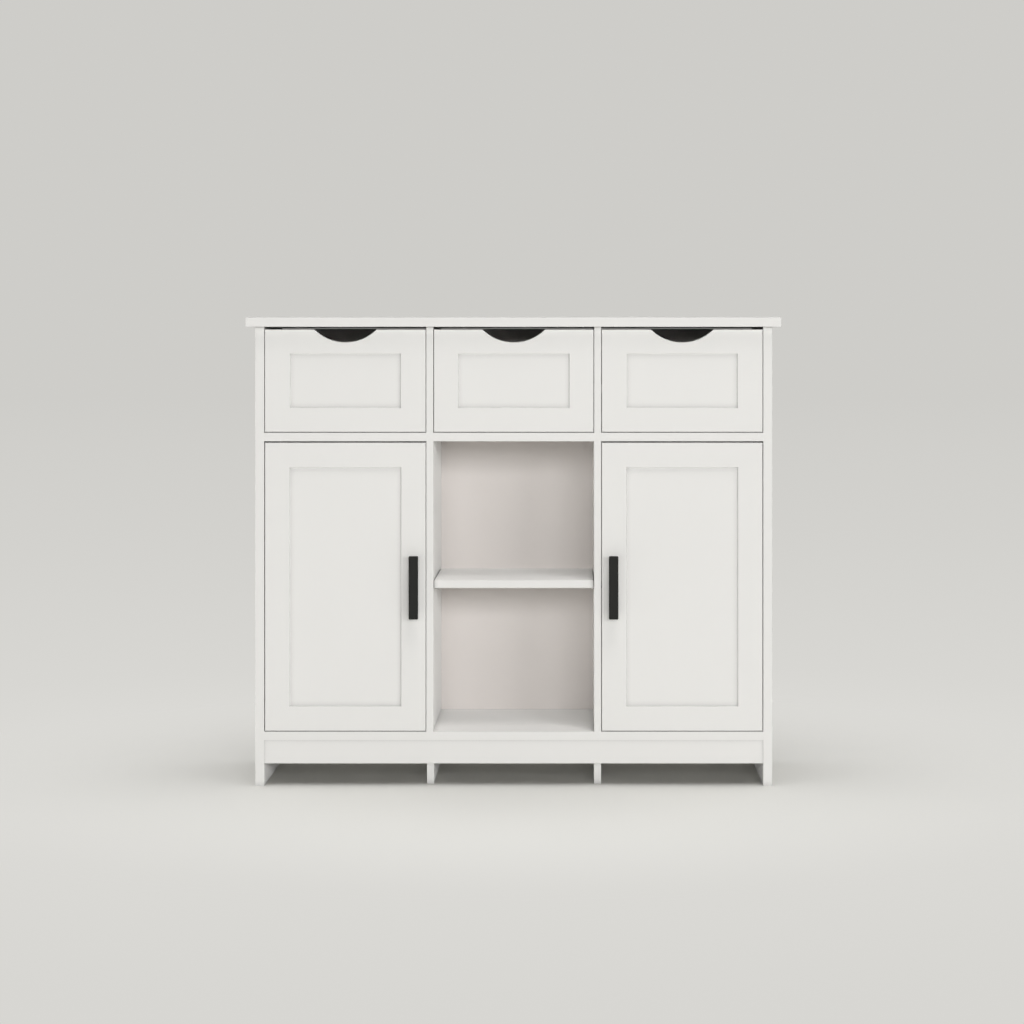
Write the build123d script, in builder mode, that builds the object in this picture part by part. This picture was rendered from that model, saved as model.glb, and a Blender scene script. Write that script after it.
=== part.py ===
"""Sideboard buffet: a board carcass with three drawers over two doors and an open centre bay.

Millimetres, +Z up, floor at z = 0, +X to the right of someone facing the front.
The front looks along -Y.  The origin is under the middle of the whole sideboard,
handles included.  Left-hand pieces are modelled and right-hand ones are mirrored.
"""

import os
from math import hypot, sqrt

from build123d import *

os.makedirs("parts", exist_ok=True)

# ---------------------------------------------------------------- driving dimensions
# Carcass
case_width = 968.0
case_depth = 335.0
overall_height = 878.0
top_thickness = 18.0
top_overhang_side = 16.0
top_overhang_front = 15.0
top_edge_radius = 2.0
side_thickness = 16.5
divider_thickness = 13.0
centre_bay_width = 301.5
board_thickness = 16.0
drawer_bay_height = 198.5
apron_height = 43.5
apron_clearance = 42.0
apron_thickness = 15.0
apron_setback = 2.0
foot_board_setback = 27.0
back_thickness = 3.0
back_setback = 1.0
back_rebate_width = 8.0
back_edge_clearance = 0.5

# Shelves and their pins
shelf_thickness = 15.0
shelf_height = 369.5
shelf_back_gap = 39.0
centre_shelf_setback = 12.0
side_shelf_setback = 28.0
shelf_end_clearance = 1.0
shelf_pin_radius = 2.5
shelf_pin_depth = 5.5
shelf_pin_reach = 8.0
shelf_pin_edge_distance = 45.0

# Fronts: doors and drawer fronts are set flush into the carcass
front_thickness = 16.0
front_edge_radius = 1.4
door_swing_clearance = 0.4
door_meeting_gap = 1.3
door_gap_top = 2.7
door_gap_bottom = 1.6
drawer_gap_side = 1.3
drawer_gap_top = 5.2
drawer_gap_bottom = 1.5
recess_depth = 5.0
recess_taper = 25.0
door_frame_width = 45.5
drawer_frame_side = 46.5
centre_drawer_frame_side = 44.7
drawer_frame_top = 45.0
drawer_frame_bottom = 44.5
finger_cut_width = 117.0
finger_cut_depth = 24.0

# Drawer boxes and the runner strips that they slide on
drawer_side_thickness = 12.0
drawer_side_height = 140.0
drawer_rear_gap = 15.0
drawer_box_lift = 10.0
drawer_wall_gap = 3.0
drawer_bottom_thickness = 3.0
drawer_bottom_groove_depth = 5.0
drawer_bottom_lift = 10.0
drawer_bottom_clearance = 0.3
drawer_back_inset = 4.0
runner_groove_height = 18.0
runner_groove_depth = 6.0
runner_groove_lift = 62.0
runner_front_gap = 5.0
runner_rear_gap = 5.0
runner_slide_gap = 0.3
runner_side_gap = 0.5
runner_screw_edge = 30.0
centre_runner_screw_shift = 24.0

# Door handle
handle_length = 118.0
handle_width = 17.5
handle_thickness = 6.0
handle_projection = 26.0
handle_edge_distance = 21.7
handle_post_radius = 5.0
handle_post_spacing = 96.0
handle_corner_radius = 2.0
handle_edge_radius = 1.0
handle_screw_radius = 2.0
handle_screw_bite = 12.0
handle_screw_head_radius = 4.0
handle_screw_head_height = 2.4

# Cup hinge, with one pin in the cup and a goose-neck arm on the side panel
hinge_end_distance = 80.0
hinge_pin_edge_distance = 12.0
hinge_pin_radius = 1.5
hinge_pin_clearance = 0.05
hinge_pin_end_gap = 0.1
hinge_barrel_radius = 2.4
hinge_barrel_floor_gap = 0.2
cup_radius = 17.5
cup_edge_distance = 22.5
cup_depth = 13.0
cup_wall = 0.8
cup_flange_radius = 20.0
cup_flange_thickness = 1.0
cup_wing_length = 60.0
cup_wing_width = 14.0
cup_boss_spacing = 45.0
cup_boss_offset = 9.5
cup_boss_radius = 4.0
cup_boss_depth = 10.0
arm_width = 14.0
arm_thickness = 2.0
arm_reach = 13.5
arm_swing_gap = 1.6
arm_tail_length = 55.0
arm_crank_radius = 1.5
hinge_plate_thickness = 2.5
hinge_plate_length = 44.0
hinge_plate_width = 18.0
hinge_plate_wing = 50.0
hinge_screw_spacing = 32.0

# Fasteners
fastener_clearance = 0.05
cam_radius = 7.5
cam_depth = 12.0
cam_setback = 34.0
cam_channel = 7.4
cam_bolt_bore_radius = 4.0
cam_bolt_shank_radius = 3.0
cam_bolt_head_radius = 3.5
cam_bolt_head_length = 4.0
cam_bolt_thread_radius = 2.5
cam_bolt_bite = 11.0
cam_edge_distance = 60.0
dowel_radius = 4.0
dowel_bite = 10.0
dowel_reach = 20.0
dowel_end_gap = 0.4
drawer_dowel_radius = 3.0
drawer_dowel_side_bite = 8.0
drawer_dowel_inset = 30.0
divider_dowel_radius = 3.0
divider_dowel_bite = 15.0
divider_dowel_edge = 45.0
apron_dowel_edge = 12.0
nail_radius = 0.8
nail_head_radius = 2.0
nail_head_height = 0.8
nail_length = 16.0
nail_spacing = 150.0
screw_radius = 1.75
screw_head_radius = 3.4
screw_length = 16.0

# ---------------------------------------------------------------- derived places
front_y = -(case_depth + handle_projection) / 2 + handle_projection
back_y = front_y + case_depth
side_outer = case_width / 2
side_inner = side_outer - side_thickness
divider_inner = centre_bay_width / 2
divider_outer = divider_inner + divider_thickness
panel_top = overall_height - top_thickness

back_panel_back = back_y - back_setback
back_panel_front = back_panel_back - back_thickness

bottom_underside = apron_clearance + apron_height
bottom_top = bottom_underside + board_thickness
mid_top = panel_top - drawer_bay_height
mid_underside = mid_top - board_thickness

front_back_y = front_y + front_thickness
drawer_side_length = back_panel_front - front_back_y - drawer_rear_gap
runner_length = drawer_side_length - runner_front_gap - runner_rear_gap
door_low = bottom_top + door_gap_bottom
door_high = mid_underside - door_gap_top
drawer_low = mid_top + drawer_gap_bottom
drawer_high = panel_top - drawer_gap_top
# The pin lies as deep in its cup as the barrel lets it, and the gap beside the door is
# what its rounded front corner needs to swing past the side panel
hinge_pin_depth = front_thickness - cup_depth + cup_wall + hinge_barrel_floor_gap + hinge_barrel_radius
corner_swing_radius = front_edge_radius + hypot(
    hinge_pin_edge_distance - front_edge_radius, hinge_pin_depth - front_edge_radius
)
door_edge = side_inner - (corner_swing_radius - hinge_pin_edge_distance + door_swing_clearance)
door_meeting_edge = divider_outer + door_meeting_gap
shelf_back_y = back_panel_front - shelf_back_gap
shelf_top = shelf_height + shelf_thickness

side_bay_middle = (side_inner + divider_outer) / 2
cam_places_y = (front_y + cam_edge_distance, back_panel_front - cam_edge_distance)
dowel_place_y = (front_y + back_panel_front) / 2
divider_places_y = (front_y + foot_board_setback + divider_dowel_edge, back_panel_front - divider_dowel_edge)
divider_middle = (divider_inner + divider_outer) / 2
hinge_heights = (door_low + hinge_end_distance, door_high - hinge_end_distance)

# Directions in which a hole opens or a fastener's head faces
TO_LEFT = (-1, 0, 0)
TO_RIGHT = (1, 0, 0)
TO_FRONT = (0, -1, 0)
TO_BACK = (0, 1, 0)
UP = (0, 0, 1)
DOWN = (0, 0, -1)


def span(low, high):
    """Middle and length of the stretch between two coordinates."""
    return (low + high) / 2, high - low


def faced(points, direction):
    """Planes at the points, all facing one way."""
    return [Plane(origin=point, z_dir=direction) for point in points]


def board(x_span, y_span, z_span, edge_radius=0.0):
    """A board between three pairs of coordinates, its long front edges rounded if asked."""
    x_middle, x_length = span(*x_span)
    y_middle, y_length = span(*y_span)
    with BuildPart() as blank:
        with BuildSketch(Plane.XY.offset(z_span[0])):
            with Locations((x_middle, y_middle)):
                Rectangle(x_length, y_length)
        extrude(amount=z_span[1] - z_span[0])
        if edge_radius:
            fillet(blank.faces().sort_by(Axis.Y)[0].edges(), edge_radius)
    return blank.part


def finish(piece, label):
    """Label a finished piece and write its file."""
    piece.label = label
    export_step(piece, f"parts/{label}.step")


def mirrored(piece, label):
    """The same piece for the other hand of the sideboard, labelled and written."""
    with BuildPart() as other_hand:
        mirror(piece, about=Plane.YZ)
    finish(other_hand.part, label)
    return other_hand.part


# ---------------------------------------------------------------- fastener places
# Cam joints between the side panels and the two long boards
board_levels = ((bottom_underside, bottom_top), (mid_underside, mid_top))
side_cam_points = [(-side_inner, y, (low + high) / 2) for low, high in board_levels for y in cam_places_y]
side_dowel_points = [(-side_inner, dowel_place_y, (low + high) / 2) for low, high in board_levels]
# Cam joints between the side panels' top edges and the top
side_middle = (side_inner + side_outer) / 2
top_cam_points = [(-side_middle, y, panel_top) for y in cam_places_y]
top_dowel_points = [(-side_middle, dowel_place_y, panel_top)]
# Dowels that stand in the dividers and foot boards
divider_top_points = [(-divider_middle, y, panel_top) for y in divider_places_y]
divider_mid_points = [(-divider_middle, y, mid_top) for y in divider_places_y]
divider_low_points = [(-divider_middle, y, bottom_top) for y in divider_places_y]
# Dowels that hold the apron between the side panels
apron_front_y = front_y + apron_setback
apron_back_y = apron_front_y + apron_thickness
apron_middle_y = (apron_front_y + apron_back_y) / 2
apron_dowel_heights = (apron_clearance + apron_dowel_edge, bottom_underside - apron_dowel_edge)
apron_dowel_points = [(-side_inner, apron_middle_y, z) for z in apron_dowel_heights]
# Pins under the shelves
shelf_pin_z = shelf_height - shelf_pin_radius


def shelf_pin_points(x, setback):
    """Where the pins of one end of a shelf enter the wall at x."""
    front_pin_y = front_y + setback + shelf_pin_edge_distance
    back_pin_y = shelf_back_y - shelf_pin_edge_distance
    return [(x, y, shelf_pin_z) for y in (front_pin_y, back_pin_y)]


# Runner strips: one row of screws in each wall of each bay
drawer_box_low = drawer_low + drawer_box_lift
groove_low = drawer_box_low + runner_groove_lift
groove_middle = groove_low + runner_groove_height / 2
runner_front_y = front_back_y + runner_front_gap
runner_back_y = runner_front_y + runner_length
runner_screw_places = (runner_front_y + runner_screw_edge, runner_back_y - runner_screw_edge)
runner_thickness = drawer_wall_gap + runner_groove_depth - runner_side_gap


def runner_screw_points(x, shift=0.0):
    """Where the screws of one runner strip enter, at the height of x on its wall."""
    return [(x, y - shift, groove_middle) for y in runner_screw_places]


# Hinges: the pin line, and the plates on the side panels
hinge_pin_x = -door_edge + hinge_pin_edge_distance
hinge_pin_y = front_y + hinge_pin_depth
swing_radius = hypot(hinge_pin_edge_distance, front_thickness - hinge_pin_depth)
arm_return_y = hinge_pin_y + swing_radius + arm_swing_gap
arm_tail_y = arm_return_y + arm_tail_length
plate_face_x = -side_inner + hinge_plate_thickness
plate_middle_y = arm_tail_y - hinge_plate_length / 2
hinge_screw_points = [
    (-side_inner, plate_middle_y, z + offset)
    for z in hinge_heights
    for offset in (-hinge_screw_spacing / 2, hinge_screw_spacing / 2)
]

# Nails through the back panel
back_panel_half = side_inner + back_rebate_width - back_edge_clearance
nail_side_x = side_inner + (back_rebate_width - back_edge_clearance) / 2


def spaced(low, high):
    """Places between two ends, evenly spread about one nail spacing apart."""
    gaps = max(1, round((high - low) / nail_spacing))
    return [low + (high - low) * step / gaps for step in range(gaps + 1)]


nail_row_x = spaced(-divider_inner, divider_inner) + [-side_bay_middle, side_bay_middle]
nail_row_z = spaced(bottom_top + nail_spacing / 2, panel_top - nail_spacing / 2)

# ---------------------------------------------------------------- side panels
with BuildPart() as side_panel_left:
    add(board((-side_outer, -side_inner), (front_y, back_y), (0, panel_top)))
    # Rebate for the back panel
    with BuildSketch(Plane.XY.offset(bottom_underside)):
        with Locations((-side_inner - back_rebate_width / 2, span(back_panel_front, back_y)[0])):
            Rectangle(back_rebate_width, back_y - back_panel_front)
    extrude(amount=panel_top - bottom_underside, mode=Mode.SUBTRACT)
    with Locations(*faced(side_cam_points, TO_RIGHT)):
        Hole(cam_bolt_thread_radius + fastener_clearance, cam_bolt_bite)
    with Locations(*faced(side_dowel_points, TO_RIGHT)):
        Hole(dowel_radius + fastener_clearance, dowel_bite)
    with Locations(*faced(apron_dowel_points, TO_RIGHT)):
        Hole(dowel_radius + fastener_clearance, dowel_bite)
    with Locations(*faced(top_cam_points, UP)):
        Hole(cam_bolt_bore_radius, cam_setback)
    with Locations(*faced([(-side_inner, y, panel_top - cam_setback) for y in cam_places_y], TO_RIGHT)):
        Hole(cam_radius + fastener_clearance, cam_depth)
    with Locations(*faced(top_dowel_points, UP)):
        Hole(dowel_radius + fastener_clearance, dowel_reach)
    with Locations(*faced(shelf_pin_points(-side_inner, side_shelf_setback), TO_RIGHT)):
        Hole(shelf_pin_radius + fastener_clearance, shelf_pin_depth)
    with Locations(*faced(runner_screw_points(-side_inner), TO_RIGHT)):
        Hole(screw_radius + fastener_clearance, screw_length - runner_thickness)
    with Locations(*faced(hinge_screw_points, TO_RIGHT)):
        Hole(screw_radius + fastener_clearance, screw_length - hinge_plate_thickness)
    with Locations(*faced([(-nail_side_x, back_panel_front, z) for z in nail_row_z], TO_BACK)):
        Hole(nail_radius + fastener_clearance, nail_length)
finish(side_panel_left.part, "side_panel_left")
side_panel_right = mirrored(side_panel_left.part, "side_panel_right")

# ---------------------------------------------------------------- top board
with BuildPart() as top_board:
    add(
        board(
            (-side_outer - top_overhang_side, side_outer + top_overhang_side),
            (front_y - top_overhang_front, back_y),
            (panel_top, overall_height),
        )
    )
    fillet(top_board.faces().sort_by(Axis.Z)[-1].edges(), top_edge_radius)
    for hand in (1, -1):
        with Locations(*faced([(hand * x, y, z) for x, y, z in top_cam_points], DOWN)):
            Hole(cam_bolt_thread_radius + fastener_clearance, cam_bolt_bite)
        with Locations(*faced([(hand * x, y, z) for x, y, z in top_dowel_points], DOWN)):
            Hole(dowel_radius + fastener_clearance, dowel_bite)
        with Locations(*faced([(hand * x, y, z) for x, y, z in divider_top_points], DOWN)):
            Hole(divider_dowel_radius + fastener_clearance, dowel_bite)
finish(top_board.part, "top_board")


# ---------------------------------------------------------------- long boards
def long_board(low, high):
    """A board between the side panels, with cams, dowels and the dividers' dowels."""
    middle = (low + high) / 2
    with BuildPart() as plank:
        add(board((-side_inner, side_inner), (front_y, back_panel_front), (low, high)))
        for hand, outward in ((-1, TO_LEFT), (1, TO_RIGHT)):
            with Locations(*faced([(hand * side_inner, y, middle) for y in cam_places_y], outward)):
                Hole(cam_bolt_bore_radius, cam_setback)
            with Locations(*faced([(hand * side_inner, dowel_place_y, middle)], outward)):
                Hole(dowel_radius + fastener_clearance, dowel_reach)
            cam_x = hand * (side_inner - cam_setback)
            with Locations(*faced([(cam_x, y, low) for y in cam_places_y], DOWN)):
                Hole(cam_radius + fastener_clearance, cam_depth)
            with Locations(*faced([(hand * divider_middle, y, high) for y in divider_places_y], UP)):
                Hole(divider_dowel_radius + fastener_clearance, 2 * board_thickness)
        with Locations(*faced([(x, back_panel_front, middle) for x in nail_row_x], TO_BACK)):
            Hole(nail_radius + fastener_clearance, nail_length)
    return plank.part


bottom_board = long_board(bottom_underside, bottom_top)
finish(bottom_board, "bottom_board")
mid_board = long_board(mid_underside, mid_top)
finish(mid_board, "mid_board")

# ---------------------------------------------------------------- dividers and foot boards
divider_span = (-divider_outer, -divider_inner)

with BuildPart() as upper_divider_left:
    add(board(divider_span, (front_y, back_panel_front), (mid_top, panel_top)))
    with Locations(*faced(divider_top_points, UP)):
        Hole(divider_dowel_radius + fastener_clearance, dowel_reach)
    with Locations(*faced(divider_mid_points, DOWN)):
        Hole(divider_dowel_radius + fastener_clearance, divider_dowel_bite)
    with Locations(*faced(runner_screw_points(-divider_outer), TO_LEFT)):
        Hole(screw_radius + fastener_clearance, screw_length - runner_thickness)
    with Locations(*faced(runner_screw_points(-divider_inner, centre_runner_screw_shift), TO_RIGHT)):
        Hole(screw_radius + fastener_clearance, screw_length - runner_thickness)
finish(upper_divider_left.part, "upper_divider_left")
upper_divider_right = mirrored(upper_divider_left.part, "upper_divider_right")

with BuildPart() as lower_divider_left:
    add(board(divider_span, (front_y, back_panel_front), (bottom_top, mid_underside)))
    with Locations(*faced([(x, y, mid_underside) for x, y, z in divider_mid_points], UP)):
        Hole(divider_dowel_radius + fastener_clearance, divider_dowel_bite)
    with Locations(*faced(divider_low_points, DOWN)):
        Hole(divider_dowel_radius + fastener_clearance, divider_dowel_bite)
    with Locations(*faced(shelf_pin_points(-divider_outer, side_shelf_setback), TO_LEFT)):
        Hole(shelf_pin_radius + fastener_clearance, shelf_pin_depth)
    with Locations(*faced(shelf_pin_points(-divider_inner, centre_shelf_setback), TO_RIGHT)):
        Hole(shelf_pin_radius + fastener_clearance, shelf_pin_depth)
finish(lower_divider_left.part, "lower_divider_left")
lower_divider_right = mirrored(lower_divider_left.part, "lower_divider_right")

with BuildPart() as foot_board_left:
    add(board(divider_span, (front_y + foot_board_setback, back_panel_front), (0, bottom_underside)))
    with Locations(*faced([(x, y, bottom_underside) for x, y, z in divider_low_points], UP)):
        Hole(divider_dowel_radius + fastener_clearance, divider_dowel_bite)
finish(foot_board_left.part, "foot_board_left")
foot_board_right = mirrored(foot_board_left.part, "foot_board_right")

# ---------------------------------------------------------------- apron
with BuildPart() as apron:
    add(board((-side_inner, side_inner), (apron_front_y, apron_back_y), (apron_clearance, bottom_underside)))
    for hand, outward in ((1, TO_LEFT), (-1, TO_RIGHT)):
        with Locations(*faced([(hand * x, y, z) for x, y, z in apron_dowel_points], outward)):
            Hole(dowel_radius + fastener_clearance, dowel_reach)
finish(apron.part, "apron")

# ---------------------------------------------------------------- back panel
nail_points = [(x, back_panel_back, (low + high) / 2) for low, high in board_levels for x in nail_row_x]
nail_points += [(x, back_panel_back, z) for x in (-nail_side_x, nail_side_x) for z in nail_row_z]

with BuildPart() as back_panel:
    add(
        board(
            (-back_panel_half, back_panel_half),
            (back_panel_front, back_panel_back),
            (bottom_underside + back_edge_clearance, panel_top - back_edge_clearance),
        )
    )
    with Locations(*faced(nail_points, TO_BACK)):
        Hole(nail_radius + fastener_clearance, 2 * back_thickness)
finish(back_panel.part, "back_panel")

# ---------------------------------------------------------------- shelves
centre_shelf_half = divider_inner - shelf_end_clearance
centre_shelf = board(
    (-centre_shelf_half, centre_shelf_half),
    (front_y + centre_shelf_setback, shelf_back_y),
    (shelf_height, shelf_top),
)
finish(centre_shelf, "centre_shelf")

left_shelf = board(
    (-side_inner + shelf_end_clearance, -divider_outer - shelf_end_clearance),
    (front_y + side_shelf_setback, shelf_back_y),
    (shelf_height, shelf_top),
)
finish(left_shelf, "left_shelf")
right_shelf = mirrored(left_shelf, "right_shelf")


# ---------------------------------------------------------------- doors and drawer fronts
def front_plane(x, z):
    """The plane of the fronts, looking out of the sideboard, with its origin at x, z."""
    return Plane(origin=(x, front_y, z), x_dir=TO_RIGHT, z_dir=TO_FRONT)


def routed_slab(x_span, z_span, side_frame, low_frame, high_frame):
    """A slab with a shallow panel routed into its face, leaving a frame around it."""
    x_middle, x_length = span(*x_span)
    z_middle, z_length = span(z_span[0] + low_frame, z_span[1] - high_frame)
    with BuildPart() as slab:
        add(board(x_span, (front_y, front_back_y), z_span, front_edge_radius))
        with BuildSketch(front_plane(x_middle, z_middle)):
            Rectangle(x_length - 2 * side_frame, z_length)
        extrude(amount=-recess_depth, taper=recess_taper, mode=Mode.SUBTRACT)
    return slab.part


door_middle = (door_low + door_high) / 2
handle_x = -door_meeting_edge - handle_edge_distance
handle_post_heights = [door_middle + shift * handle_post_spacing / 2 for shift in (-1, 1)]
cup_x = -door_edge + cup_edge_distance
boss_points = [
    (cup_x + cup_boss_offset, front_back_y, z + shift * cup_boss_spacing / 2)
    for z in hinge_heights
    for shift in (-1, 1)
]

with BuildPart() as door_left:
    add(
        routed_slab(
            (-door_edge, -door_meeting_edge),
            (door_low, door_high),
            door_frame_width,
            door_frame_width,
            door_frame_width,
        )
    )
    with Locations(*faced([(cup_x, front_back_y, z) for z in hinge_heights], TO_BACK)):
        Hole(cup_radius + fastener_clearance, cup_depth)
    with Locations(*faced(boss_points, TO_BACK)):
        Hole(cup_boss_radius + fastener_clearance, cup_boss_depth)
    with Locations(*faced([(handle_x, front_y, z) for z in handle_post_heights], TO_FRONT)):
        Hole(handle_screw_radius + fastener_clearance)
finish(door_left.part, "door_left")
door_right = mirrored(door_left.part, "door_right")

# ---------------------------------------------------------------- door handles and their screws
handle_front_y = front_y - handle_projection
handle_back_y = handle_front_y + handle_thickness

with BuildPart() as handle_left:
    with BuildSketch(Plane(origin=(handle_x, handle_back_y, door_middle), x_dir=TO_RIGHT, z_dir=TO_FRONT)):
        RectangleRounded(handle_width, handle_length, handle_corner_radius)
    extrude(amount=handle_thickness)
    fillet(handle_left.faces().sort_by(Axis.Y)[0].edges(), handle_edge_radius)
    for z in handle_post_heights:
        with BuildSketch(front_plane(handle_x, z)):
            Circle(handle_post_radius)
        extrude(amount=handle_projection - handle_thickness)
    with Locations(*faced([(handle_x, front_y, z) for z in handle_post_heights], TO_BACK)):
        Hole(handle_screw_radius + fastener_clearance, handle_screw_bite)
finish(handle_left.part, "handle_left")
handle_right = mirrored(handle_left.part, "handle_right")


def copies(piece, places):
    """Copies of a small piece at several places, as separate solids of one part."""
    with BuildPart() as group:
        with Locations(*places):
            add(piece)
    return group.part


with BuildPart() as handle_screw:
    # Seen with the head's seat at the origin and the shank pointing down
    with BuildSketch():
        Circle(handle_screw_head_radius)
    extrude(amount=handle_screw_head_height)
    with BuildSketch():
        Circle(handle_screw_radius)
    extrude(amount=-(front_thickness + handle_screw_bite - dowel_end_gap))

screw_seats = faced([(handle_x, front_back_y, z) for z in handle_post_heights], TO_BACK)
handle_screws_left = copies(handle_screw.part, screw_seats)
finish(handle_screws_left, "handle_screws_left")
handle_screws_right = mirrored(handle_screws_left, "handle_screws_right")

# ---------------------------------------------------------------- cup hinges
pin_to_cup = cup_edge_distance - hinge_pin_edge_distance
pin_half_length = sqrt(cup_radius**2 - (pin_to_cup + hinge_pin_radius) ** 2) - hinge_pin_end_gap

with BuildPart() as hinge_cups_left:
    for z in hinge_heights:
        cup_mouth = Plane(origin=(cup_x, front_back_y, z), x_dir=TO_RIGHT, z_dir=TO_BACK)
        with BuildSketch(cup_mouth):
            Circle(cup_flange_radius)
            with Locations((cup_boss_offset, 0)):
                Rectangle(cup_wing_width, cup_wing_length)
        extrude(amount=cup_flange_thickness)
        with BuildSketch(cup_mouth):
            Circle(cup_radius)
        extrude(amount=-cup_depth)
        with BuildSketch(cup_mouth):
            with Locations((cup_boss_offset, 0)):
                with GridLocations(0, cup_boss_spacing, 1, 2):
                    Circle(cup_boss_radius)
        extrude(amount=-cup_boss_depth)
        with BuildSketch(cup_mouth.offset(cup_flange_thickness)):
            Circle(cup_radius - cup_wall)
        extrude(amount=-(cup_flange_thickness + cup_depth - cup_wall), mode=Mode.SUBTRACT)
        with BuildSketch(Plane.XY.offset(z - pin_half_length)):
            with Locations((hinge_pin_x, hinge_pin_y)):
                Circle(hinge_pin_radius)
        extrude(amount=2 * pin_half_length, mode=Mode.SUBTRACT)
finish(hinge_cups_left.part, "hinge_cups_left")
hinge_cups_right = mirrored(hinge_cups_left.part, "hinge_cups_right")

with BuildPart() as hinge_pins_left:
    for z in hinge_heights:
        with BuildSketch(Plane.XY.offset(z - pin_half_length)):
            with Locations((hinge_pin_x, hinge_pin_y)):
                Circle(hinge_pin_radius)
        extrude(amount=2 * pin_half_length)
finish(hinge_pins_left.part, "hinge_pins_left")
hinge_pins_right = mirrored(hinge_pins_left.part, "hinge_pins_right")

arm_bend_x = hinge_pin_x + arm_reach
arm_return_middle_y = arm_return_y + arm_thickness / 2
arm_tail_x = plate_face_x + arm_thickness / 2

with BuildPart() as hinge_arms_left:
    for z in hinge_heights:
        with BuildSketch(Plane.XY.offset(z - arm_width / 2)):
            with BuildLine():
                FilletPolyline(
                    (hinge_pin_x, hinge_pin_y),
                    (arm_bend_x, hinge_pin_y),
                    (arm_bend_x, arm_return_middle_y),
                    (arm_tail_x, arm_return_middle_y),
                    (arm_tail_x, arm_tail_y),
                    radius=arm_crank_radius,
                )
            trace(line_width=arm_thickness)
            with Locations((hinge_pin_x, hinge_pin_y)):
                Circle(hinge_barrel_radius)
                Circle(hinge_pin_radius + hinge_pin_clearance, mode=Mode.SUBTRACT)
        extrude(amount=arm_width)
finish(hinge_arms_left.part, "hinge_arms_left")
hinge_arms_right = mirrored(hinge_arms_left.part, "hinge_arms_right")

with BuildPart() as hinge_plates_left:
    for z in hinge_heights:
        with BuildSketch(Plane(origin=(-side_inner, plate_middle_y, z), x_dir=TO_BACK, z_dir=TO_RIGHT)):
            Rectangle(hinge_plate_length, arm_width)
            Rectangle(hinge_plate_width, hinge_plate_wing)
        extrude(amount=hinge_plate_thickness)
    with Locations(*faced([(plate_face_x, y, z) for x, y, z in hinge_screw_points], TO_RIGHT)):
        CounterSinkHole(
            screw_radius + fastener_clearance,
            screw_head_radius + fastener_clearance,
            hinge_plate_thickness,
            counter_sink_angle=90,
        )
finish(hinge_plates_left.part, "hinge_plates_left")
hinge_plates_right = mirrored(hinge_plates_left.part, "hinge_plates_right")


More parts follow.
